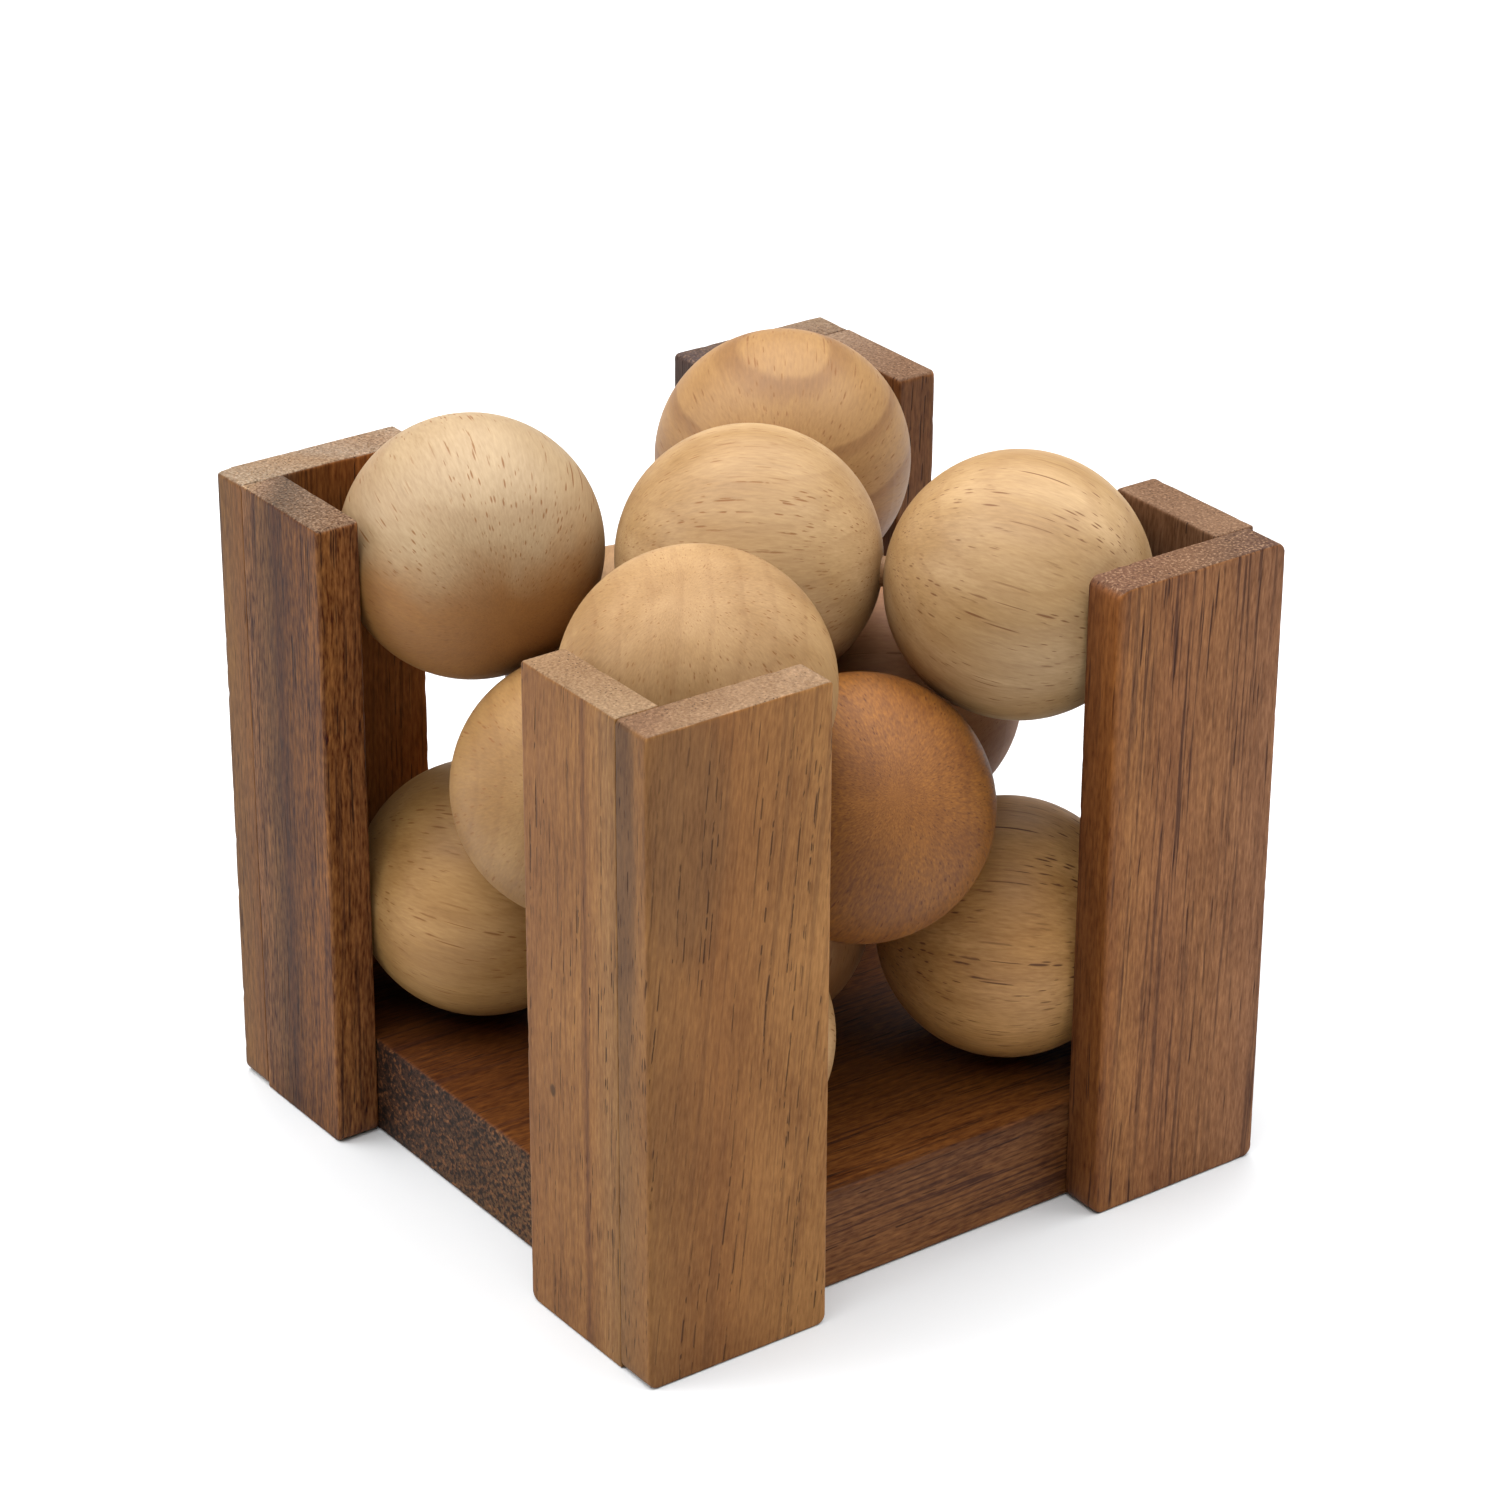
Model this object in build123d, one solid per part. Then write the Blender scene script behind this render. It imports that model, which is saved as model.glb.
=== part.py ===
from build123d import *
import os
from math import sqrt

# A ball-packing puzzle: four glued pieces of wooden balls standing in an open wooden crate.
# Millimetres, +Z up, origin at the middle of the crate's footprint. -Y is the front of the crate.

# ---- Driving dimensions ----
ball_diameter = 35.0
joint_gap = 0.45  # space left between two balls that share a dowel
dowel_diameter = 4.0
dowel_depth = 6.0  # how far a dowel goes into each ball
crate_side = 99.0  # outside width and depth of the crate
post_height = 90.3
board_thickness = 6.4
base_thickness = 14.2
long_edge_round = 0.5
end_edge_round = 0.4
seam_edge_round = 0.15  # the sanded seam where a post's two boards meet
base_edge_round = 0.6
dowel_chamfer = 0.4
ball_turn = 22.5  # degrees about +Z, so that no dowel hole crosses a sphere's seam or poles
same_place = 0.01  # how near an edge has to be to count as lying at a given x or y

# How far each post's boards reach from its outer corner: the one on the crate's left or right
# side, which covers the corner, and the one on the front or back, which butts against it.
post_reach = {
    "front_right": (27.3, 26.7),
    "front_left": (27.6, 25.3),
    "back_right": (27.5, 26.3),
    "back_left": (25.8, 26.4),
}
post_corner = {
    "front_right": (1, -1),
    "front_left": (-1, -1),
    "back_right": (1, 1),
    "back_left": (-1, 1),
}

# ---- The balls' lattice ----
# The balls fill a face-centred cube: its eight corners and the middles of its six faces.
half_side = crate_side / 2
ball_radius = ball_diameter / 2
lattice_step = (ball_diameter + joint_gap) / sqrt(2)
lowest_ball_height = base_thickness + ball_radius

# Each piece lists its balls by place, as lattice steps right, back and up, and its glued joints.
pieces = {
    "bar": {
        "balls": {"back_left": (-1, 1, 0), "centre": (0, 0, 0), "front_right": (1, -1, 0)},
        "joints": [("back_left", "centre"), ("centre", "front_right")],
    },
    "zigzag": {
        "balls": {
            "front_left": (-1, -1, 0),
            "front": (0, -1, 1),
            "right": (1, 0, 1),
            "back_right": (1, 1, 0),
        },
        "joints": [("front_left", "front"), ("front", "right"), ("right", "back_right")],
    },
    "bend": {
        "balls": {"front_left": (-1, -1, 2), "left": (-1, 0, 1), "back": (0, 1, 1)},
        "joints": [("front_left", "left"), ("left", "back")],
    },
    "tee": {
        "balls": {
            "back_left": (-1, 1, 2),
            "centre": (0, 0, 2),
            "front_right": (1, -1, 2),
            "back_right": (1, 1, 2),
        },
        "joints": [("centre", "back_left"), ("centre", "front_right"), ("centre", "back_right")],
    },
}

# The dowels are set by hand, so these balls sit a little off the lattice.
hand_set = {
    ("bar", "front_right"): (0.2, 0.2, 0.0),
    ("zigzag", "front"): (-0.1, 0.1, 0.1),
    ("zigzag", "right"): (0.3, 0.4, 0.1),
    ("zigzag", "back_right"): (0.0, 0.4, 0.1),
    ("bend", "front_left"): (-0.3, -0.4, 0.1),
    ("bend", "left"): (0.0, -0.1, 0.3),
    ("bend", "back"): (0.0, 0.0, 0.1),
    ("tee", "back_left"): (-0.4, 0.0, 0.6),
    ("tee", "centre"): (0.35, 0.75, 0.95),
    ("tee", "front_right"): (0.2, -0.1, -0.7),
    ("tee", "back_right"): (0.4, 0.4, -0.1),
}


def save(solid, node):
    export_step(solid, f"parts/{node}.step")


def block(corner_a, corner_b):
    """A rectangular board between two opposite corners."""
    size = [abs(b - a) for a, b in zip(corner_a, corner_b)]
    middle = [(a + b) / 2 for a, b in zip(corner_a, corner_b)]
    return Pos(*middle) * Box(*size)


def upright_edges(board, x=None, y=None):
    """A board's vertical edges, kept to those at the given x or y."""
    edges = board.edges().filter_by(Axis.Z)
    if x is not None:
        edges = edges.filter_by_position(Axis.X, x - same_place, x + same_place)
    if y is not None:
        edges = edges.filter_by_position(Axis.Y, y - same_place, y + same_place)
    return edges


def soften_ends(board):
    """Break the edges round a board's top and bottom end grain."""
    faces = board.faces().sort_by(Axis.Z)
    return fillet(faces[-1].edges() + faces[0].edges(), end_edge_round)


def side_board(corner, reach):
    """The post's board on the crate's left or right side, one board thick, covering the corner."""
    outer_x, outer_y = corner[0] * half_side, corner[1] * half_side
    inner_x = outer_x - corner[0] * board_thickness
    free_y = outer_y - corner[1] * reach
    board = block((outer_x, outer_y, 0), (inner_x, free_y, post_height))
    board = fillet(upright_edges(board, y=free_y), long_edge_round)
    board = fillet(upright_edges(board, x=outer_x, y=outer_y), long_edge_round)
    board = fillet(upright_edges(board, x=inner_x, y=outer_y), seam_edge_round)
    return soften_ends(board)


def face_board(corner, reach):
    """The post's board on the crate's front or back, butting behind the side board."""
    outer_y = corner[1] * half_side
    inner_y = outer_y - corner[1] * board_thickness
    butt_x = corner[0] * (half_side - board_thickness)
    free_x = corner[0] * (half_side - reach)
    board = block((butt_x, outer_y, 0), (free_x, inner_y, post_height))
    board = fillet(upright_edges(board, x=free_x), long_edge_round)
    board = fillet(upright_edges(board, x=butt_x, y=outer_y), seam_edge_round)
    return soften_ends(board)


def base_plate():
    """The thick square plate inside the posts, its underside level with theirs."""
    inner = half_side - board_thickness
    plate = block((-inner, -inner, 0), (inner, inner, base_thickness))
    return fillet(plate.edges(), base_edge_round)


def ball_centre(piece, place):
    """Where a ball's middle lies, with its hand-set offset."""
    steps = pieces[piece]["balls"][place]
    offset = hand_set.get((piece, place), (0, 0, 0))
    lattice = Vector(*steps) * lattice_step + Vector(0, 0, lowest_ball_height)
    return lattice + Vector(*offset)


def dowel(start, end, chamfered=True):
    """The dowel between two ball middles, or the plain rod that cuts its holes."""
    span = end - start
    length = span.length - 2 * (ball_radius - dowel_depth)
    rod = Cylinder(dowel_diameter / 2, length)
    if chamfered:
        rod = chamfer(rod.edges().filter_by(GeomType.CIRCLE), dowel_chamfer)
    return Plane(origin=(start + end) * 0.5, z_dir=span) * rod


def ball(piece, place):
    """One ball, drilled for the dowels of its own joints."""
    centre = ball_centre(piece, place)
    solid = Pos(*centre) * Rot(Z=ball_turn) * Sphere(ball_radius)
    for joint in pieces[piece]["joints"]:
        if place in joint:
            start, end = (ball_centre(piece, name) for name in joint)
            solid = solid - dowel(start, end, chamfered=False)
    return solid


def make_crate():
    save(base_plate(), "base_plate")
    for post, corner in post_corner.items():
        side_reach, face_reach = post_reach[post]
        save(side_board(corner, side_reach), f"{post}_side_board")
        save(face_board(corner, face_reach), f"{post}_face_board")


def make_piece(piece):
    for place in pieces[piece]["balls"]:
        save(ball(piece, place), f"{piece}_ball_{place}")
    for number, joint in enumerate(pieces[piece]["joints"], start=1):
        start, end = (ball_centre(piece, name) for name in joint)
        save(dowel(start, end), f"{piece}_dowel_{number}")


os.makedirs("parts", exist_ok=True)
make_crate()
for piece_name in pieces:
    make_piece(piece_name)
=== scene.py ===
"""A ball-packing puzzle: tan turned balls in an open crate of reddish-brown boards, on a white table.

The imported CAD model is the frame. The balls and dowels keep their CAD shapes and get new wood. Each
crate board is replaced by a finer one with worn, slightly uneven edges, in the same box.
"""

from math import copysign, cos, hypot, radians, sin

import bpy
from mathutils import Matrix, Vector, noise


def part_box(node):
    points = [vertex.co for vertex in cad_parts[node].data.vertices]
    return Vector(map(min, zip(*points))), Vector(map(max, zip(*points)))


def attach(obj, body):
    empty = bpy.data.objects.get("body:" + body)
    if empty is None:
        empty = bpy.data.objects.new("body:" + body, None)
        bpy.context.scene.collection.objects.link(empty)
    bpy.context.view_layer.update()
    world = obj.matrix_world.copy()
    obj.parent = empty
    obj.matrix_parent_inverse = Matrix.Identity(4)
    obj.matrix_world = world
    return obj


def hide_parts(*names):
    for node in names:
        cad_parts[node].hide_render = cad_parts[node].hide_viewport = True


MM = 0.001  # the scene is in metres; sizes below are in millimetres where their name says so

# ---- Camera: the crate is seen from its front right corner, a little from above ----
VIEW_AZIMUTH = radians(54.05)  # from the front, towards the right
VIEW_ELEVATION = radians(25.98)
VIEW_ROLL = radians(0.248)
VIEW_DISTANCE = 6.308  # in crate widths, from the point looked at
VIEW_TARGET = (-0.0032, 0.0155, 0.5513)  # in crate widths, from the middle of the footprint
LENS_MM = 113.07
SENSOR_MM = 36.0

# ---- Light ----
# Each soft lamp: the direction it shines from, its strength, and how wide it looks in degrees.
LAMPS = {
    "overhead": ((0.0, 0.0, 1.0), 4.0, 98),
    "front": ((-0.1, -0.25, 0.9), 1.7, 42),
    "left": ((-0.6, -0.8, 0.5), 1.65, 40),
    "back": ((-0.5, 0.4, 0.8), 0.7, 40),
    "back_right": ((0.3, 0.6, 0.8), 1.25, 40),
}
WALL_STRENGTH = 0.9  # white walls round the table, seen near the horizon
WALL_TOP = (0.05, 0.2)  # how far up the walls start and stop fading, where straight up is 1
TABLE_SIDE = 60.0  # in metres, so that its edges are out of sight
TABLE_COLOURS = ((0.60, 0.61, 0.62, 1.0), (0.64, 0.65, 0.66, 1.0))

# ---- Crate boards ----
EDGE_LINES_MM = (0.0, 0.1, 0.24, 0.42, 0.65, 0.95, 1.3)  # mesh lines beside every edge
BOARD_STEP_MM = 1.0
FREE_EDGE_MM = 0.5
SEAM_EDGE_MM = 0.16
INNER_EDGE_MM = 0.02  # a face board's edge in the post's inner corner
END_EDGE_MM = 0.4
BASE_EDGE_MM = 0.6
FOOT_CORNER_MM = 1.4  # how far the lower corners of a board's outline are worn round
WAVE_MM = 7  # how long the faint waves in a board's surface are
WAVE_DEPTH_MM = 0.03
NICK_MM = 1.6  # how long the nicks beside a board's edges are
NICK_REACH_MM = 0.7  # how far from an edge they reach
NICK_START = 0.25  # how high the noise has to be for a nick
WEAR_AND_HIGHLIGHT_PALER = 0.45  # how much paler the sharpest edges are: wear, and a painted highlight

# ---- Wood ----
# Each soft noise in the wood: its repeats per millimetre across, across and along the grain, and its
# detail.
NOISES = {
    "sway": ((0.04, 0.04, 0.03), 1.0),
    "crowd": ((0.2, 0.2, 0.03), 2.0),
    "fine": ((3.2, 3.2, 0.6), 2.0),
    "fibre": ((1.7, 1.7, 0.13), 4.0),
    "mottle": ((0.1, 0.1, 0.06), 3.0),
    "ring_sway": ((0.11, 0.11, 0.02), 2.0),
    "patch": ((0.13, 0.13, 0.03), 2.0),
    "band_sway": ((0.12, 0.12, 0.012), 2.0),
    "streak": ((1.7, 1.7, 0.015), 4.0),
    "bundle": ((0.16, 0.16, 0.006), 2.0),
}
# From what value to what value each of these sets in.
STEPS = {
    "end_grain": (0.45, 0.85),  # the cosine between the grain and the surface normal
    "pore": (0.5, 1.3),  # the distance from a pore's middle, in radii
    "dash": (0.46, 0.54),
    "crowd": (0.35, 0.6),
    "ring_start": (0.62, 0.9),  # in ring widths
    "ring_end": (0.92, 1.0),
    "tone": (-0.3, 0.3),
    "streak": (0.5, 0.64),
    "bundle": (0.38, 0.6),
    "stain": (0.2, 1.0),  # the square of the distance from a stain's middle, in reaches
    "speck": (0.44, 0.62),
    "fleck": (0.5, 0.64),
    "wear_and_highlight": (0.52, 0.62),  # Blender's pointiness, for paler edges: wear, and a painted highlight
}
PORE_SIZES = (0.5, 1.4)  # the narrowest and the widest pore, in usual widths
DASH_NOISE = 1.1  # repeats per millimetre across the grain of the noise that breaks pores into dashes
THIN_CROWD = 0.35  # how strong the pores are where they are faintest
THIN_BUNDLE = 0.25  # how strong a board's streaks are where they are faintest
STAIN_STRENGTH = 0.65
FIBRE_SHARE = 0.7  # how much the fibre noise counts beside the fine noise
USUAL_FIBRE = 0.85  # what the two usually come to
SHADE_TINT = (0.8, 1.0, 1.25)  # how much a shade changes red, green and blue: darker wood is redder
ROUGHNESS = 0.5
FIBRE_ROUGHNESS = 0.16
PORE_ROUGHNESS = 0.12
FIBRE_HEIGHT = 0.35  # where a pore's depth is 1
BUMP_STRENGTH = 0.6
RING_SWAY_MM = 2.4
FADE_REACH_MM = 15.0  # how far to either side of its middle a ball's change of tone reaches
FOLLOW_CURVE = 0.6  # 0 cuts a ball's pores straight across; 1 runs them all along its surface
FLECK_SHIFT_MM = (40.0, 0.0, 0.0)  # keeps the flecks of end grain away from its specks
ACROSS = (1.0, 1.0, 0.0)  # the parts of a place that lie across its grain and along it
ALONG = (0.0, 0.0, 1.0)


def linear(code):
    """A web colour such as b07a45 as the linear red, green, blue and alpha that shaders use."""
    levels = [int(code[i : i + 2], 16) / 255 for i in (0, 2, 4)]
    curve = [c / 12.92 if c <= 0.04045 else ((c + 0.055) / 1.055) ** 2.4 for c in levels]
    return (*curve, 1.0)


# ---- Node trees ----
class Tree:
    """A node tree with short calls. node adds a node and returns it; the others return an output."""

    def __init__(self, tree):
        self.nodes, self.links = tree.nodes, tree.links

    def node(self, kind, inputs, **settings):
        node = self.nodes.new(kind)
        for name, value in settings.items():
            setattr(node, name, value)
        for key, value in inputs.items():
            if isinstance(value, bpy.types.NodeSocket):
                self.links.new(value, node.inputs[key])
            else:
                node.inputs[key].default_value = value
        return node

    def math(self, operation, a, b=0.0, c=0.0):
        return self.node("ShaderNodeMath", {0: a, 1: b, 2: c}, operation=operation).outputs[0]

    def vector(self, operation, a, b=(0.0, 0.0, 0.0), c=(0.0, 0.0, 0.0)):
        node = self.node("ShaderNodeVectorMath", {0: a, 1: b, 2: c}, operation=operation)
        return node.outputs["Value" if operation in ("LENGTH", "DOT_PRODUCT") else "Vector"]

    def scale(self, vector, amount):
        node = self.node("ShaderNodeVectorMath", {0: vector, "Scale": amount}, operation="SCALE")
        return node.outputs["Vector"]

    def noise(self, vector, scales, detail=2.0):
        """Soft noise from 0 to 1, with its own number of repeats along each axis."""
        place = self.vector("MULTIPLY", vector, scales)
        return self.node("ShaderNodeTexNoise", {"Vector": place, "Scale": 1.0, "Detail": detail}).outputs[0]

    def step(self, value, low, high, start=0.0, end=1.0):
        """A smooth step from start, where value is low, to end, where it is high."""
        inputs = {0: value, 1: low, 2: high, 3: start, 4: end}
        return self.node("ShaderNodeMapRange", inputs, interpolation_type="SMOOTHSTEP").outputs[0]

    def mix(self, share, a, b):
        return self.node("ShaderNodeMix", {0: share, 6: a, 7: b}, data_type="RGBA").outputs[2]


DETAIL_INPUTS = {
    "Place": "NodeSocketVector",
    "Base": "NodeSocketColor",
    "Pore": "NodeSocketColor",
    "End": "NodeSocketFloat",
    "Spacing": "NodeSocketFloat",
    "Width": "NodeSocketFloat",
    "Run": "NodeSocketFloat",
    "Sway": "NodeSocketFloat",
    "Strength": "NodeSocketFloat",
    "Fibre": "NodeSocketFloat",
    "Mottle": "NodeSocketFloat",
}
DETAIL_OUTPUTS = {
    "Colour": "NodeSocketColor",
    "Roughness": "NodeSocketFloat",
    "Height": "NodeSocketFloat",
}


def swaying(tree, place, sway):
    """A place in the wood moved across its grain by slow noise, so that the grain wanders."""
    scales, detail = NOISES["sway"]
    slow = tree.vector("MULTIPLY", place, scales)
    bend = tree.node("ShaderNodeTexNoise", {"Vector": slow, "Scale": 1.0, "Detail": detail})
    bend = tree.scale(bend.outputs["Color"], sway)
    return tree.vector("ADD", place, tree.vector("MULTIPLY", bend, ACROSS))


def pore_mask(tree, place, wavy, given):
    """1 in a pore and 0 beside it. Each cell of a pattern across the grain holds one tube."""
    across = tree.scale(wavy, tree.math("DIVIDE", 1.0, given["Spacing"]))
    cells = tree.node("ShaderNodeTexVoronoi", {"Vector": across, "Scale": 1.0}, voronoi_dimensions="2D")
    dice = tree.node("ShaderNodeSeparateColor", {0: cells.outputs["Color"]}).outputs
    radius = tree.math("MULTIPLY", tree.math("DIVIDE", given["Width"], given["Spacing"]), 0.5)
    radius = tree.math("MULTIPLY", radius, tree.step(dice[0], 0.0, 1.0, *PORE_SIZES))
    ratio = tree.math("DIVIDE", cells.outputs["Distance"], radius)
    pore = tree.step(ratio, *STEPS["pore"], 1.0, 0.0)
    # The tubes are broken into dashes, and crowd together in some parts of the wood.
    dash = tree.math("DIVIDE", 0.5, given["Run"])
    dashes = tree.node("ShaderNodeCombineXYZ", {0: DASH_NOISE, 1: DASH_NOISE, 2: dash}).outputs[0]
    broken = tree.step(tree.noise(wavy, dashes), *STEPS["dash"])
    crowd = tree.step(tree.noise(place, *NOISES["crowd"]), *STEPS["crowd"], THIN_CROWD, 1.0)
    return tree.math("MULTIPLY", pore, tree.math("MULTIPLY", crowd, broken))


def shaded(tree, place, wavy, fibre, given):
    """The base colour with its fibres and mottling."""
    fine = tree.noise(wavy, *NOISES["fine"])
    fibres = tree.math("SUBTRACT", tree.math("MULTIPLY_ADD", fibre, FIBRE_SHARE, fine), USUAL_FIBRE)
    fibres = tree.math("MULTIPLY", fibres, given["Fibre"])
    mottle = tree.math("SUBTRACT", tree.noise(place, *NOISES["mottle"]), 0.5)
    shade = tree.math("ADD", fibres, tree.math("MULTIPLY", mottle, given["Mottle"]))
    shades = tree.vector("MULTIPLY_ADD", SHADE_TINT, shade, (1.0, 1.0, 1.0))
    return tree.vector("MULTIPLY", given["Base"], shades)


def wood_detail():
    """Node group: pores, fibres and mottling on a base colour. Place is in mm, Z along the grain.

    Pores are tubes along the grain, so they show as dashes on long grain and as dots on end grain.
    In mm, Spacing, Width and the Sway of the grain are across the tubes, and Run is a dash's length.
    """
    group = bpy.data.node_groups.new("wood_detail", "ShaderNodeTree")
    for name, kind in DETAIL_INPUTS.items():
        group.interface.new_socket(name=name, in_out="INPUT", socket_type=kind)
    for name, kind in DETAIL_OUTPUTS.items():
        group.interface.new_socket(name=name, in_out="OUTPUT", socket_type=kind)
    tree = Tree(group)
    given = tree.node("NodeGroupInput", {}).outputs
    place = given["Place"]
    wavy = swaying(tree, place, given["Sway"])
    fibre = tree.noise(wavy, *NOISES["fibre"])
    pore = pore_mask(tree, place, wavy, given)
    colour = shaded(tree, place, wavy, fibre, given)
    colour = tree.mix(tree.math("MULTIPLY", pore, given["Strength"]), colour, given["Pore"])
    open_grain = tree.math("MAXIMUM", pore, given["End"])
    rough = tree.math("ADD", ROUGHNESS, tree.math("MULTIPLY", fibre, FIBRE_ROUGHNESS))
    rough = tree.math("ADD", rough, tree.math("MULTIPLY", open_grain, PORE_ROUGHNESS))
    height = tree.math("SUBTRACT", tree.math("MULTIPLY", fibre, FIBRE_HEIGHT), pore)
    tree.node("NodeGroupOutput", {"Colour": colour, "Roughness": rough, "Height": height})
    return group


def new_material(name):
    """A new, empty material, with its tree and its texture coordinates."""
    material = bpy.data.materials.new(name)
    material.use_nodes = True
    material.node_tree.nodes.clear()
    tree = Tree(material.node_tree)
    return material, tree, tree.node("ShaderNodeTexCoord", {}).outputs


def grain_frame(grain, side):
    """Axes of a piece of wood: Z along its grain, X as near to the given side as that allows."""
    z = Vector(grain).normalized()
    x = (Vector(side) - Vector(side).dot(z) * z).normalized()
    return Matrix((x, z.cross(x), z)).transposed()


def grain_place(tree, coordinates, origin, axes):
    """The object's coordinates in millimetres from an origin, turned into a wood's own axes."""
    inputs = {
        "Vector": coordinates,
        "Location": origin,
        "Rotation": axes.to_euler(),
        "Scale": (MM, MM, MM),
    }
    return tree.node("ShaderNodeMapping", inputs, vector_type="TEXTURE").outputs[0]


def end_grain(tree, coords, axes):
    """1 where the surface cuts across the grain, 0 along it."""
    facing = tree.vector("DOT_PRODUCT", coords["Normal"], tuple(axes.col[2]))
    return tree.step(tree.math("ABSOLUTE", facing), *STEPS["end_grain"])


def finish_wood(tree, detail, place, base, end, look):
    """Add the detail group, the bump and the surface shader to a base colour."""
    inputs = {"Place": place, "Base": base, "End": end, "Pore": linear(look["pore"])}
    for name in ("Spacing", "Width", "Run", "Sway", "Strength", "Fibre", "Mottle"):
        inputs[name] = look[name.lower()]
    node = tree.node("ShaderNodeGroup", inputs, node_tree=detail)
    bump_inputs = {
        "Height": node.outputs["Height"],
        "Strength": BUMP_STRENGTH,
        "Distance": look["bump"] * MM,
    }
    bump = tree.node("ShaderNodeBump", bump_inputs).outputs[0]
    shader_inputs = {
        "Base Color": node.outputs["Colour"],
        "Roughness": node.outputs["Roughness"],
        "Specular IOR Level": look["gloss"],
        "Normal": bump,
    }
    shader = tree.node("ShaderNodeBsdfPrincipled", shader_inputs).outputs[0]
    tree.node("ShaderNodeOutputMaterial", {"Surface": shader})


def repaint(node, material):
    """Give a CAD node this material alone."""
    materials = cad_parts[node].data.materials
    materials.clear()
    materials.append(material)


# ---- Balls: pale rubberwood, each turned from its own blank, so each has its own grain ----
BALL_LOOK = {
    "light": "a2805a",
    "dark": "8c683e",
    "ring": "744c28",
    "pore": "784a1c",
    "spacing": 0.72,
    "width": 0.22,
    "run": 2.4,
    "sway": 2.0,
    "strength": 0.85,
    "fibre": 0.5,
    "mottle": 0.45,
    "patches": 1.0,
    "fade": 0.0,
    "fade_mm": 0.0,
    "ring_share": 0.15,
    "ring_mm": 3.6,
    "bump": 0.03,
    "gloss": 0.45,
}
# Each ball's own wood: its grain's direction, the direction and the distance in millimetres to the ball
# from the middle of its growth rings, a tint, and what else differs from BALL_LOOK. A ring is dark on its
# outer side, or on its inner side where ring_mm is negative. The side towards the rings' middle is darker
# where fade is above 0 and lighter where it is below 0, and fade_mm moves the change outwards. On the two
# balls with a fade, it makes the lower part darker and the top lighter: painted shade and painted light.
BALLS = {
    "bend_ball_front_left": {
        "grain": (0.93, -0.30, -0.21),
        "ring_side": (-0.45, 0.2, 0.9),
        "ring_distance": 30,
        "tint": (0.94, 0.92, 0.84),
        "light": "a0886a",
        "dark": "8a5e2e",
        # This fade, towards the darker, redder colour below, darkens the lower part and lightens the top:
        # painted shade and painted light.
        "fade": 0.55,
        "fade_mm": 8.0,
        "patches": 0.6,
        "ring_share": 0.12,
        "ring_mm": 9.0,
        "spacing": 0.65,
    },
    "bend_ball_left": {
        "grain": (0.5, -0.6, 0.6),
        "ring_side": (0.6, 0.8, 0.0),
        "ring_distance": 34,
        "tint": (0.9, 0.85, 0.8),
    },
    "bend_ball_back": {
        "grain": (0.7, 0.6, 0.2),
        "ring_side": (0.0, 0.2, 1.0),
        "ring_distance": 31,
        # This redder, darker tint matches the ball's look where it sits in shade: partly painted shade.
        "tint": (1.0, 0.76, 0.64),
    },
    "tee_ball_centre": {
        "grain": (0.59, 0.81, 0.0),
        "ring_side": (-0.3, 0.2, 1.0),
        "ring_distance": 33,
        "tint": (1.05, 1.1, 1.06),
        "run": 1.2,
        "spacing": 0.62,
    },
    "tee_ball_front_right": {
        "grain": (0.31, -0.35, 0.89),
        "ring_side": (0.6, 0.8, 0.1),
        "ring_distance": 38,
        "tint": (0.93, 0.92, 0.82),
        "run": 1.2,
    },
    "tee_ball_back_right": {
        "grain": (0.73, 0.65, -0.20),
        "ring_side": (0.2, -0.2, 1.0),
        "ring_distance": 36,
        "tint": (1.09, 1.17, 1.18),
        "run": 3.4,
        "pore": "643814",
    },
    "tee_ball_back_left": {
        "grain": (0.81, -0.59, -0.07),
        "ring_side": (0.05, -0.04, -1.0),
        "ring_distance": 54.8,
        "tint": (0.81, 0.71, 0.48),
        "ring_share": 0.5,
        "ring_mm": -8.0,
        # This fade lightens the ball's top and darkens its lower part: painted light and painted shade.
        "fade": -0.4,
        "run": 1.4,
    },
    "zigzag_ball_front_left": {
        "grain": (0.73, 0.66, -0.18),
        "ring_side": (0.1, -0.4, 1.0),
        "ring_distance": 40,
        "tint": (1.12, 1.06, 0.78),
    },
    "zigzag_ball_front": {
        "grain": (0.73, -0.53, 0.44),
        "ring_side": (0.59, 0.81, 0.0),
        "ring_distance": 37,
        "tint": (0.81, 0.75, 0.54),
    },
    "zigzag_ball_right": {
        "grain": (0.81, -0.28, 0.51),
        "ring_side": (0.59, 0.81, 0.0),
        "ring_distance": 42,
        "tint": (0.61, 0.37, 0.1),
        "ring": "5a2c14",
        "pore": "481a04",
        "run": 0.9,
        "strength": 0.7,
        "fibre": 1.5,
        "ring_share": 0.12,
        "ring_mm": 4.5,
    },
    "zigzag_ball_back_right": {
        "grain": (0.68, 0.73, -0.03),
        "ring_side": (0.2, -0.3, 1.0),
        "ring_distance": 35,
        "tint": (1.22, 1.08, 0.76),
        "pore": "5a3416",
        "width": 0.26,
        "strength": 1.0,
        "fibre": 0.8,
    },
    "bar_ball_back_left": {
        "grain": (0.2, 0.9, 0.4),
        "ring_side": (1.0, 0.0, 0.3),
        "ring_distance": 33,
        "tint": (0.95, 0.95, 0.95),
    },
    "bar_ball_centre": {
        "grain": (0.5, 0.2, 0.8),
        "ring_side": (0.8, 0.5, 0.0),
        "ring_distance": 36,
        # This darker, redder tint matches the ball's look where it sits in shadow: partly painted shade.
        "tint": (0.9, 0.7, 0.55),
    },
    "bar_ball_front_right": {
        "grain": (0.3, -0.8, 0.5),
        "ring_side": (0.9, 0.3, 0.2),
        "ring_distance": 32,
        "tint": (1.2, 1.2, 1.15),
    },
}
DOWEL_LOOK = {
    **BALL_LOOK,
    "grain": (0, 1, 0),
    "ring_side": (1, 0, 0),
    "ring_distance": 0.0,
    "tint": (0.95, 0.85, 0.75),
}


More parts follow.
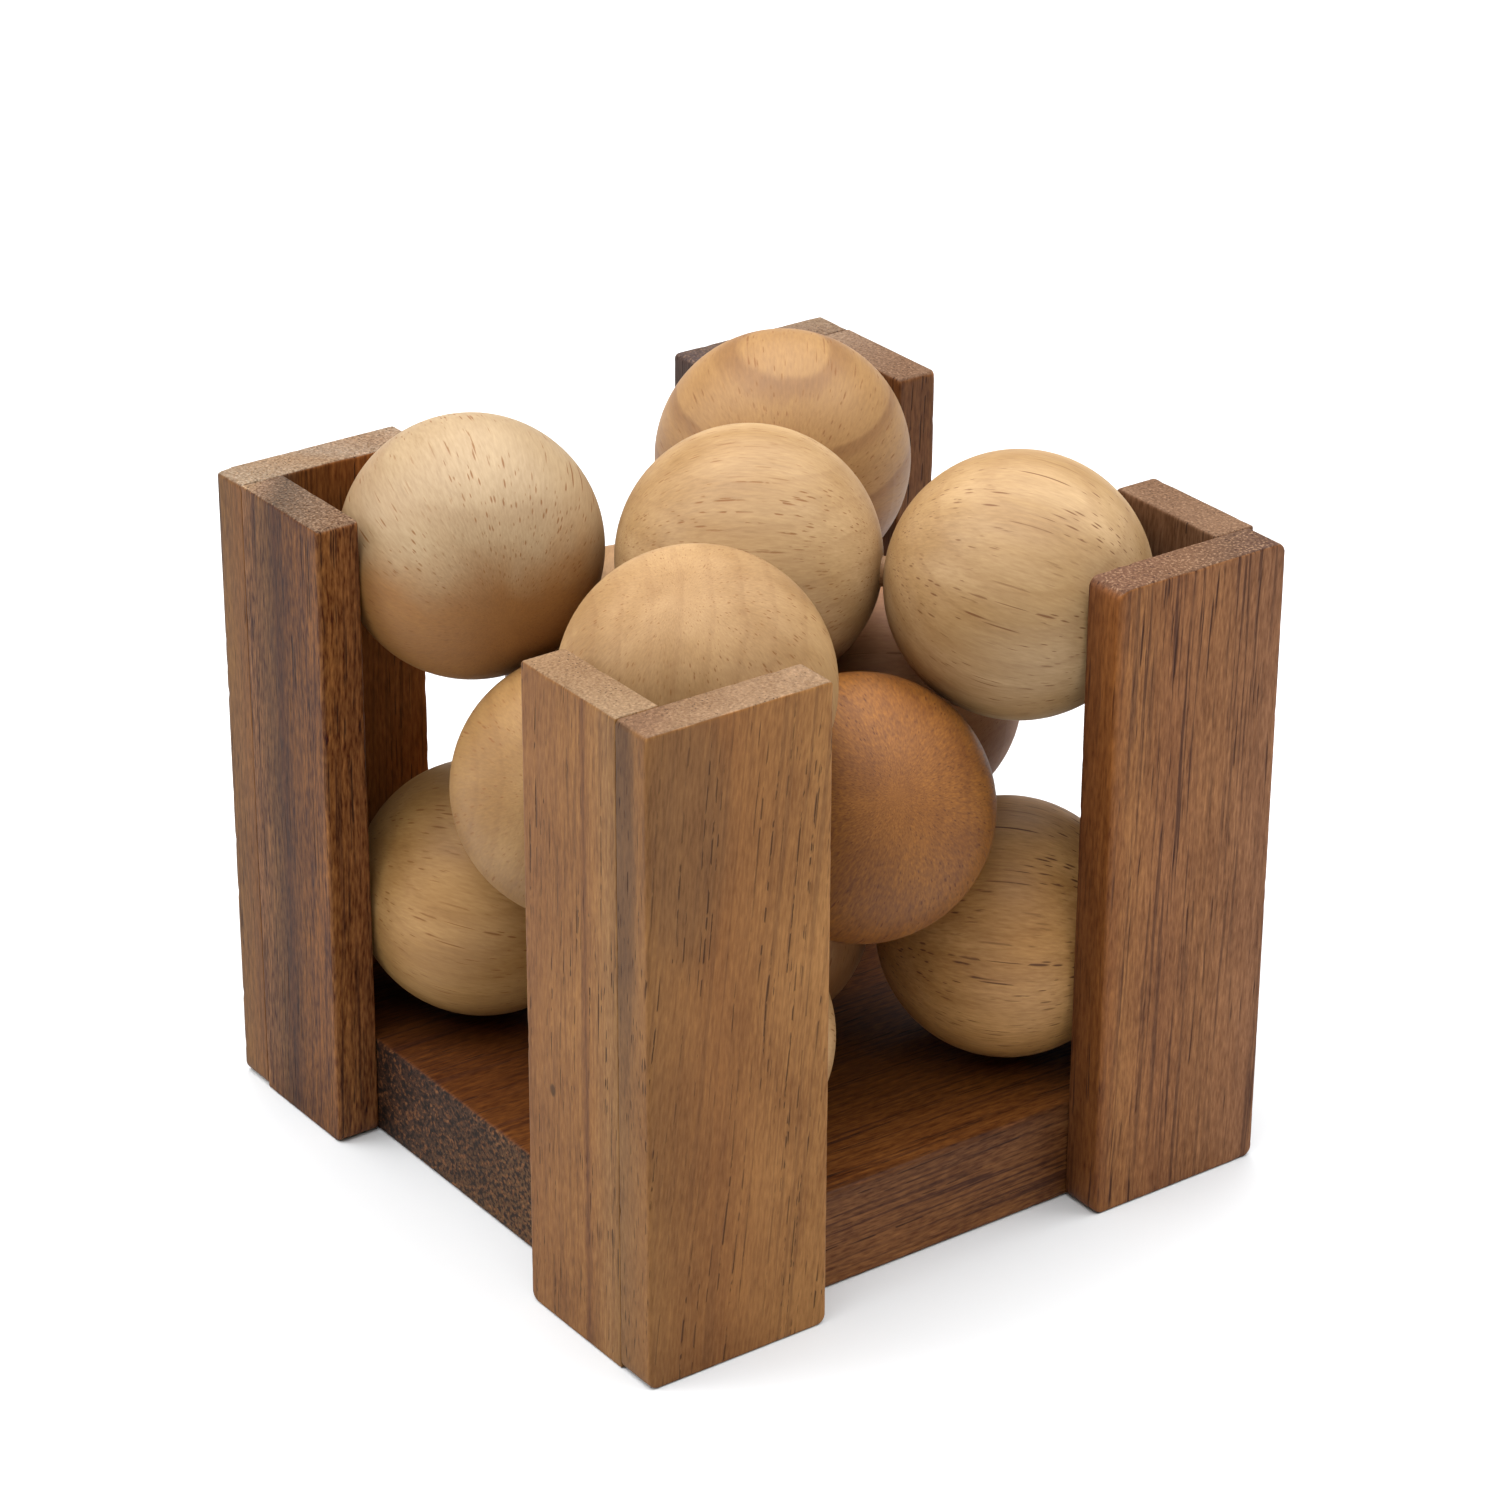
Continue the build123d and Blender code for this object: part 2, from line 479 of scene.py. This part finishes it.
def ball_base(tree, place, look):
    """The growth rings and broad changes of tone in a ball's blank; the fade is partly painted shade and
    light.
    """
    rings = tree.vector("LENGTH", tree.vector("MULTIPLY", place, ACROSS))
    sway = tree.math("MULTIPLY", tree.noise(place, *NOISES["ring_sway"]), RING_SWAY_MM)
    ring = tree.math("FRACT", tree.math("DIVIDE", tree.math("ADD", rings, sway), look["ring_mm"]))
    # A ring darkens slowly and ends sharply.
    ring_end = tree.step(ring, *STEPS["ring_end"], 1.0, 0.0)
    line = tree.math("MULTIPLY", tree.step(ring, *STEPS["ring_start"]), ring_end)
    halfway = look["ring_distance"] + look["fade_mm"]
    near, far = halfway - FADE_REACH_MM, halfway + FADE_REACH_MM
    # On the two balls with a fade, it darkens the lower part and lightens the top: painted shade and light.
    fade = tree.step(rings, near, far, look["fade"], -look["fade"])
    patches = tree.math("SUBTRACT", tree.noise(place, *NOISES["patch"]), 0.5)
    tone = tree.math("MULTIPLY_ADD", patches, look["patches"], fade)
    base = tree.mix(tree.step(tone, *STEPS["tone"]), linear(look["light"]), linear(look["dark"]))
    base = tree.mix(tree.math("MULTIPLY", line, look["ring_share"]), base, linear(look["ring"]))
    return tree.vector("MULTIPLY", base, look["tint"])


def curved_place(tree, place, ring_distance, radius):
    """A place in the blank, measured from the ball's middle and drawn out so that dashes are longer."""
    place = tree.vector("SUBTRACT", place, (ring_distance, 0.0, 0.0))
    across = tree.vector("MULTIPLY", place, ACROSS)
    along = tree.vector("MULTIPLY", place, ALONG)
    ratio = tree.math("DIVIDE", radius, tree.math("MAXIMUM", tree.vector("LENGTH", across), 0.5))
    return tree.vector("ADD", along, tree.scale(across, tree.math("POWER", ratio, FOLLOW_CURVE)))


def dress_ball(node, detail):
    look = {**BALL_LOOK, **BALLS[node]}
    low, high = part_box(node)
    axes = grain_frame(look["grain"], look["ring_side"])
    origin = (low + high) / 2 - axes.col[0] * look["ring_distance"] * MM
    material, tree, coords = new_material(f"{node}_wood")
    place = grain_place(tree, coords["Object"], origin, axes)
    base = ball_base(tree, place, look)
    pores = curved_place(tree, place, look["ring_distance"], (high.x - low.x) / 2 / MM)
    finish_wood(tree, detail, pores, base, end_grain(tree, coords, axes), look)
    repaint(node, material)


def dress_dowels(detail):
    material, tree, coords = new_material("dowel_wood")
    axes = grain_frame(DOWEL_LOOK["grain"], DOWEL_LOOK["ring_side"])
    place = grain_place(tree, coords["Object"], (0, 0, 0), axes)
    base = ball_base(tree, place, DOWEL_LOOK)
    finish_wood(tree, detail, place, base, end_grain(tree, coords, axes), DOWEL_LOOK)
    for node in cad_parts:
        if "_dowel_" in node:
            repaint(node, material)


# ---- Boards: darker, reddish-brown wood with dark pores and streaks ----
BOARD_LOOK = {
    "grain": (0.02, 0.03, 1.0),
    "streak": "3a1c0e",
    "pore": "241208",
    "speck": "4a3020",
    "fleck": "a88464",
    "spacing": 0.65,
    "width": 0.21,
    "run": 1.9,
    "sway": 2.0,
    "strength": 0.85,
    "fibre": 1.6,
    "mottle": 0.85,
    "streaks": 0.3,
    "band_sway": 3.0,
    "specks": 0.3,
    "flecks": 0.2,
    "grit": 2.4,
    "bump": 0.05,
    "gloss": 0.165,
    "nicks": 0.25,
    "top_corner": 0.8,
    "stains": (),
}
# Colours across each board, at millimetres along its own line across the grain: "sides" on its long
# grain and "ends" on its end grain. A post board's line starts at its outer front upright edge, and
# places below 0 are on a side board's narrow front edge. The base plate's runs right over its top and
# down its right side. A stain is (place on the line, reach, height, reach, colour). The posts' "ends"
# are greyer than their sides, and paler on the front posts: partly a painted sheen on their tops.
BOARDS = {
    "front_right_side_board": {
        "grain": (0.0, 0.1, 1.0),
        "sides": ((-6, "6a4a2a"), (0, "775029"), (11, "7c5028"), (27, "8e6235")),
        "ends": ((0, "6c503a"), (4, "775c43"), (27, "846a50")),
        "spacing": 0.6,
        "run": 1.2,
        "strength": 0.75,
        "fibre": 1.0,
        "mottle": 1.0,
        "stains": ((-4.8, 3, 78, 40, "442c1a"), (6, 8, 76, 22, "6a4828")),
    },
    "front_right_face_board": {
        "sides": (
            (0, "6e4c28"),
            (2, "795530"),
            (6, "7a522a"),
            (7, "5c381c"),
            (8, "7a522a"),
            (20, "704926"),
        ),
        "ends": ((0, "7c644a"), (20, "7a5e42")),
        "run": 1.3,
        "fibre": 1.2,
        "band_sway": 0.6,
        "stains": ((14.6, 0.7, 33.4, 1.1, "120a04"),),
    },
    "front_left_side_board": {
        "sides": ((-6, "643f1e"), (-1, "60401f"), (0, "533e2f"), (3, "70441e"), (26, "94592a")),
        "ends": ((0, "867460"), (8, "7e664e"), (12, "7e6c5a"), (20, "826a54"), (26, "887460")),
        "specks": 0.45,
        "flecks": 0.3,
        "streaks": 0.6,
        "nicks": 0.7,
    },
    "front_left_face_board": {
        "sides": (
            (0, "644023"),
            (5, "513318"),
            (8, "3a1e0c"),
            (11, "543113"),
            (18, "5c3616"),
            (20, "724620"),
            (25, "6a4020"),
        ),
        "ends": ((0, "80664a"), (4, "664f3d"), (8, "44362a"), (14, "5b4838"), (20, "644c38")),
        "fibre": 3.2,
        "spacing": 0.55,
        "run": 3.0,
        "streaks": 0.8,
    },
    "back_right_side_board": {
        "sides": (
            (-6, "5b3418"),
            (0, "77471f"),
            (3, "84562e"),
            (10, "7c4f2d"),
            (16, "7f5330"),
            (26, "795033"),
        ),
        "ends": ((0, "5c3e2c"), (10, "60432e"), (18, "523a2a"), (26, "4e362b")),
        "pore": "280e08",
        "spacing": 0.95,
        "width": 0.3,
        "run": 5.0,
        "streaks": 0.8,
        "specks": 0.1,
        "flecks": 0.45,
        "fleck": "9c7c60",
        "nicks": 0.5,
        "top_corner": 1.7,
    },
    "back_right_face_board": {
        "sides": ((0, "644630"), (20, "60422c")),
        "ends": ((0, "684d38"), (20, "6a4f3a")),
    },
    "back_left_side_board": {
        "sides": ((0, "3c2a22"), (4, "5a3820"), (26, "5c381e")),
        "ends": ((0, "3e3230"), (8, "54443a"), (14, "6c5746"), (26, "74604c")),
    },
    "back_left_face_board": {
        "sides": ((0, "68432a"), (20, "643e20")),
        "ends": ((0, "7c6651"), (8, "6e5745"), (20, "664b37")),
    },
    "base_plate": {
        "grain": (0.02, 1.0, 0.01),
        # Darker towards the left of the top: partly the wood's colour, partly painted shade among the posts
        # and balls.
        "sides": (
            (0, "4c280e"),
            (40, "512a0a"),
            (60, "5c330f"),
            (85, "683c16"),
            (86, "4b290f"),
            (88, "623c1e"),
            (100, "6e431f"),
        ),
        "ends": ((20, "341c0f"), (40, "3a2619"), (60, "50361f")),
        "fibre": 2.2,
        "streaks": 0.9,
        "specks": 0.9,
        "speck": "0c0705",
        "flecks": 0.5,
        "fleck": "7a4c2a",
        "grit": 1.5,
        "gloss": 0.17,
    },
}


def colour_bands(tree, way, bands):
    """Colours at places, in millimetres, along a way across the grain."""
    first, last = bands[0][0], bands[-1][0]
    share = tree.node("ShaderNodeMapRange", {0: way, 1: first, 2: last}).outputs[0]
    ramp = tree.node("ShaderNodeValToRGB", {0: share})
    points = ramp.color_ramp.elements
    points.remove(points[1])
    for index, (millimetres, colour) in enumerate(bands):
        point = points[0] if index == 0 else points.new((millimetres - first) / (last - first))
        point.color = linear(colour)
    return ramp.outputs[0]


def board_way(tree, coords, place, line, start, look):
    """How many millimetres along a line from its start a place lies, with a slight sway."""
    way = tree.vector("SUBTRACT", coords["Object"], tuple(start))
    way = tree.vector("DOT_PRODUCT", way, tuple(Vector(line) / MM))
    sway = tree.math("SUBTRACT", tree.noise(place, *NOISES["band_sway"]), 0.5)
    return tree.math("ADD", way, tree.math("MULTIPLY", sway, look["band_sway"]))


def stained(tree, colour, way, height, stain):
    """A soft patch of another colour on a board's sides."""
    middle, reach, level, rise, code = stain
    beside = tree.math("DIVIDE", tree.math("SUBTRACT", way, middle), reach)
    above = tree.math("DIVIDE", tree.math("SUBTRACT", height, level * MM), rise * MM)
    beside, above = tree.math("MULTIPLY", beside, beside), tree.math("MULTIPLY", above, above)
    share = tree.step(tree.math("ADD", beside, above), *STEPS["stain"], STAIN_STRENGTH, 0.0)
    return tree.mix(share, colour, linear(code))


def board_sides(tree, coords, place, way, look):
    """A board's long grain: bands of colour, with bundles of dark streaks, and stains."""
    sides = colour_bands(tree, way, look["sides"])
    streak = tree.step(tree.noise(place, *NOISES["streak"]), *STEPS["streak"])
    bundle = tree.step(tree.noise(place, *NOISES["bundle"]), *STEPS["bundle"], THIN_BUNDLE, 1.0)
    streak = tree.math("MULTIPLY", tree.math("MULTIPLY", streak, bundle), look["streaks"])
    sides = tree.mix(streak, sides, linear(look["streak"]))
    height = tree.node("ShaderNodeSeparateXYZ", {0: coords["Object"]}).outputs[2]
    for stain in look["stains"]:
        sides = stained(tree, sides, way, height, stain)
    return sides


def board_ends(tree, place, way, look):
    """A board's end grain: bands of colour (on the posts' tops partly a painted sheen), pale flecks and
    dark specks.
    """
    scales = (look["grit"], look["grit"], 0.4)
    speck = tree.step(tree.noise(place, scales, 3.0), *STEPS["speck"])
    fleck = tree.step(tree.noise(tree.vector("ADD", place, FLECK_SHIFT_MM), scales), *STEPS["fleck"])
    ends = colour_bands(tree, way, look["ends"])
    ends = tree.mix(tree.math("MULTIPLY", fleck, look["flecks"]), ends, linear(look["fleck"]))
    return tree.mix(tree.math("MULTIPLY", speck, look["specks"]), ends, linear(look["speck"]))


def wear_and_highlight(tree, colour):
    """A colour turned paler along sharp edges: partly wear from handling, partly a painted highlight on
    their rounding.
    """
    pointiness = tree.node("ShaderNodeNewGeometry", {}).outputs["Pointiness"]
    paler = tree.step(pointiness, *STEPS["wear_and_highlight"], 0.0, WEAR_AND_HIGHLIGHT_PALER)
    return tree.vector("MULTIPLY_ADD", colour, paler, colour)


def board_material(name, detail, origin, side, line, start):
    """A board's wood. side turns its grain's pattern, and its colours change along line, from start."""
    look = {**BOARD_LOOK, **BOARDS[name]}
    material, tree, coords = new_material(f"{name}_wood")
    axes = grain_frame(look["grain"], side)
    place = grain_place(tree, coords["Object"], origin, axes)
    end = end_grain(tree, coords, axes)
    way = board_way(tree, coords, place, line, start, look)
    sides = board_sides(tree, coords, place, way, look)
    base = tree.mix(end, sides, board_ends(tree, place, way, look))
    # Sharp edges turn paler: wear, and a painted highlight on their rounding.
    finish_wood(tree, detail, place, wear_and_highlight(tree, base), end, look)
    return material


def mesh_lines(half):
    """Places from -half to half: closely spaced beside both edges, then about a step apart."""
    edge = [line * MM for line in EDGE_LINES_MM]
    count = max(1, round((2 * half - 2 * edge[-1]) / (BOARD_STEP_MM * MM)))
    start, span = -half + edge[-1], 2 * half - 2 * edge[-1]
    middle = [start + span * i / count for i in range(1, count)]
    return [line - half for line in edge] + middle + [half - line for line in reversed(edge)]


def box_quads(counts):
    """Quads of a grid over a box's six sides, each as four (i, j, k) places in the grid."""
    last = [count - 1 for count in counts]
    quads = []
    for axis in range(3):
        a, b = (axis + 1) % 3, (axis + 2) % 3
        for level in (0, last[axis]):
            for i in range(last[a]):
                for j in range(last[b]):
                    square = ((i, j), (i + 1, j), (i + 1, j + 1), (i, j + 1))
                    corners = []
                    for u, v in square if level else reversed(square):
                        corner = [0, 0, 0]
                        corner[axis], corner[a], corner[b] = level, u, v
                        corners.append(tuple(corner))
                    quads.append(corners)
    return quads


def round_edges(point, half, side_round, end_round):
    """Move a point of a box's surface in, onto the same box with its edges rounded."""
    x, y, z = point
    gap_x, gap_y, gap_z = (h - abs(c) for h, c in zip(half, point))
    into_x, into_y = side_round - gap_x, side_round - gap_y
    if into_x > 0 and into_y > 0:
        length = hypot(into_x, into_y)
        out_x, out_y = into_x / length, into_y / length
        reach = max(into_x, into_y)
        new_x, new_y = half[0] - side_round + out_x * reach, half[1] - side_round + out_y * reach
    else:
        out_x, out_y = (1.0, 0.0) if gap_x < gap_y else (0.0, 1.0)
        new_x, new_y = abs(x), abs(y)
    gap = min(gap_x, gap_y)
    if gap < end_round and gap_z < end_round:
        up, out = end_round - gap_z, end_round - gap
        length = hypot(up, out)
        move = end_round * (1 - out / length) - gap
        new_x, new_y = new_x - out_x * move, new_y - out_y * move
        z = copysign(half[2] - end_round * (1 - up / length), z)
    return Vector((copysign(new_x, x), copysign(new_y, y), z))


def worn_corner(point, half, axis, radius, end_round, side_round):
    """Move a box's surface point onto a board's outline with that corner worn round, or return None.

    The outline is seen square to the board's wide faces, and axis is the one across it.
    """
    out = abs(point[axis]) - (half[axis] - radius)
    up = abs(point.z) - (half.z - radius)
    if out <= 0 or up <= 0:
        return None
    edge_round = end_round + (side_round - end_round) * out / (out + up)
    gap = radius - max(out, up)
    wide = 1 - axis
    wide_gap = half[wide] - abs(point[wide])
    if gap < edge_round and wide_gap < edge_round:
        inner, wide_inner = edge_round - gap, edge_round - wide_gap
        length = hypot(inner, wide_inner)
        gap, wide_gap = edge_round * (1 - inner / length), edge_round * (1 - wide_inner / length)
    stretch = (radius - gap) / hypot(out, up)
    worn = Vector((0, 0, copysign(half.z - radius + up * stretch, point.z)))
    worn[axis] = copysign(half[axis] - radius + out * stretch, point[axis])
    worn[wide] = copysign(half[wide] - wide_gap, point[wide])
    return worn


def board_point(flat, half, side_rounds, end_round, worn_ends, top_corner):
    """A point of a board's box moved in onto its rounded edges and worn corners."""
    quarter = (1 if flat.x > 0 else -1, 1 if flat.y > 0 else -1)
    side_round = side_rounds[quarter] * MM
    radius = (top_corner if flat.z > 0 else FOOT_CORNER_MM) * MM
    for axis, side in worn_ends:
        if flat[axis] * side > 0:
            worn = worn_corner(flat, half, axis, radius, end_round * MM, side_round)
            if worn is not None:
                return worn
    return round_edges(flat, half, side_round, end_round * MM)


def wear_depth(place, edge_gap, nicks):
    """How far the surface is worn in at a place: a faint waviness, and small nicks beside edges."""
    wave = 0.5 + 0.5 * noise.noise(place / (WAVE_MM * MM))
    nick = max(0.0, noise.noise(place / (NICK_MM * MM)) - NICK_START)
    near = max(0.0, 1 - edge_gap / (NICK_REACH_MM * MM))
    return (WAVE_DEPTH_MM * wave + nicks * nick * near) * MM


def wear_down(mesh, middle, half, nicks):
    """Press a board's surface in along its normals."""
    normals = [vertex.normal.copy() for vertex in mesh.vertices]
    for vertex, normal in zip(mesh.vertices, normals):
        gaps = sorted(h - abs(c) for h, c in zip(half, vertex.co - middle))
        vertex.co -= normal * wear_depth(vertex.co, gaps[1], nicks)


def build_board(node, side_rounds, end_round, worn_ends):
    """A board in a CAD board's own box.

    side_rounds gives each upright edge's rounding, in mm. worn_ends gives the ends, as (axis, side), where
    the outline's corners are worn.
    """
    look = {**BOARD_LOOK, **BOARDS[node]}
    low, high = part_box(node)
    middle, half = (low + high) / 2, (high - low) / 2
    lines = [mesh_lines(h) for h in half]
    places, points, faces = {}, [], []
    for quad in box_quads([len(line) for line in lines]):
        for corner in quad:
            if corner not in places:
                places[corner] = len(points)
                flat = Vector(lines[axis][corner[axis]] for axis in range(3))
                point = board_point(flat, half, side_rounds, end_round, worn_ends, look["top_corner"])
                points.append(point + middle)
        faces.append([places[corner] for corner in quad])
    mesh = bpy.data.meshes.new(f"{node}_worn")
    mesh.from_pydata(points, [], faces)
    mesh.update()
    wear_down(mesh, middle, half, look["nicks"])
    mesh.polygons.foreach_set("use_smooth", [True] * len(mesh.polygons))
    mesh.update()
    board = bpy.data.objects.new(f"{node}_worn", mesh)
    bpy.context.scene.collection.objects.link(board)
    return board


def add_board(node, side_rounds, end_round, worn_ends, material):
    board = build_board(node, side_rounds, end_round, worn_ends)
    board.data.materials.append(material)
    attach(board, "crate")
    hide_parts(node)


POST_CORNERS = {
    "front_right": (1, -1),
    "front_left": (-1, -1),
    "back_right": (1, 1),
    "back_left": (-1, 1),
}


def post_boards(post, corner, detail):
    """A post's two boards: the side board covers the corner, the face board butts against it."""
    x, y = corner
    free, seam = FREE_EDGE_MM, SEAM_EDGE_MM
    side_rounds = {(x, y): free, (x, -y): free, (-x, -y): free, (-x, y): seam}
    face_rounds = {(-x, y): free, (-x, -y): free, (x, y): seam, (x, -y): INNER_EDGE_MM}
    for kind, across, rounds, worn_ends in (
        ("side_board", x, side_rounds, ((1, -1), (1, 1))),
        ("face_board", -x, face_rounds, ((0, -x),)),
    ):
        node = f"{post}_{kind}"
        low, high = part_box(node)
        start = Vector((high.x if x > 0 else low.x, low.y, 0))
        middle = (low + high) / 2
        material = board_material(node, detail, middle, (x, 0.3 * y, 0), (across, 1, 0), start)
        add_board(node, rounds, END_EDGE_MM, worn_ends, material)


def base_board(detail):
    node = "base_plate"
    low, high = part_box(node)
    rounds = {quarter: BASE_EDGE_MM for quarter in POST_CORNERS.values()}
    start = Vector((low.x, low.y, high.z))
    middle = (low + high) / 2
    material = board_material(node, detail, middle, (1, 0, 0.4), (1, 0, -1), start)
    add_board(node, rounds, BASE_EDGE_MM, (), material)


# ---- Stage ----
def add_camera(crate_width):
    back = Vector((
        sin(VIEW_AZIMUTH) * cos(VIEW_ELEVATION),
        -cos(VIEW_AZIMUTH) * cos(VIEW_ELEVATION),
        sin(VIEW_ELEVATION),
    ))
    right = Vector((0, 0, 1)).cross(back).normalized()
    level = Matrix((right, back.cross(right), back)).transposed()
    turn = level @ Matrix.Rotation(VIEW_ROLL, 3, "Z")
    data = bpy.data.cameras.new("camera")
    data.lens = LENS_MM
    data.sensor_width = SENSOR_MM
    camera = bpy.data.objects.new("camera", data)
    place = (Vector(VIEW_TARGET) + back * VIEW_DISTANCE) * crate_width
    camera.matrix_world = Matrix.Translation(place) @ turn.to_4x4()
    bpy.context.scene.collection.objects.link(camera)
    bpy.context.scene.camera = camera


def add_walls():
    """A world that is white near the horizon, like the walls of a studio, and dark overhead."""
    world = bpy.data.worlds.new("white_walls")
    world.use_nodes = True
    world.node_tree.nodes.clear()
    tree = Tree(world.node_tree)
    direction = tree.node("ShaderNodeTexCoord", {}).outputs["Generated"]
    height = tree.node("ShaderNodeSeparateXYZ", {0: direction}).outputs[2]
    strength = tree.step(height, *WALL_TOP, WALL_STRENGTH, 0.0)
    light = tree.node("ShaderNodeBackground", {"Strength": strength}).outputs[0]
    tree.node("ShaderNodeOutputWorld", {"Surface": light})
    bpy.context.scene.world = world


def add_lamps():
    for name, (direction, strength, width) in LAMPS.items():
        data = bpy.data.lights.new(name, "SUN")
        data.energy = strength
        data.angle = radians(width)
        lamp = bpy.data.objects.new(name, data)
        lamp.rotation_euler = Vector(direction).to_track_quat("Z", "Y").to_euler()
        bpy.context.scene.collection.objects.link(lamp)


def add_floor():
    half = TABLE_SIDE / 2
    corners = [(-half, -half, 0), (half, -half, 0), (half, half, 0), (-half, half, 0)]
    mesh = bpy.data.meshes.new("table_top")
    mesh.from_pydata(corners, [], [(0, 1, 2, 3)])
    material, tree, coords = new_material("white_table")
    speck = tree.noise(coords["Object"], (3.0, 3.0, 3.0))
    colour = tree.mix(speck, *TABLE_COLOURS)
    shader = tree.node("ShaderNodeBsdfPrincipled", {"Base Color": colour, "Roughness": 0.9}).outputs[0]
    tree.node("ShaderNodeOutputMaterial", {"Surface": shader})
    mesh.materials.append(material)
    floor = bpy.data.objects.new("table_top", mesh)
    bpy.context.scene.collection.objects.link(floor)


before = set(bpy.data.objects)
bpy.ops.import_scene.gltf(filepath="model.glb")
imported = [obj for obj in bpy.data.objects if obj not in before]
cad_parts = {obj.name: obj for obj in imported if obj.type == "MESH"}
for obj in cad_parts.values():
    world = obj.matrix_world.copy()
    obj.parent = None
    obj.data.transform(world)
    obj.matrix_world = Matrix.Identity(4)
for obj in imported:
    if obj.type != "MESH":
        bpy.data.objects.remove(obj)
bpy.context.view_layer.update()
bpy.context.scene.view_settings.view_transform = "Standard"
crate_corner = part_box("front_right_side_board")[1]
add_camera(2 * crate_corner.x)
add_walls()
add_lamps()
add_floor()

detail_group = wood_detail()
for ball_node in BALLS:
    dress_ball(ball_node, detail_group)
dress_dowels(detail_group)
for post_name, post_corner in POST_CORNERS.items():
    post_boards(post_name, post_corner, detail_group)
base_board(detail_group)
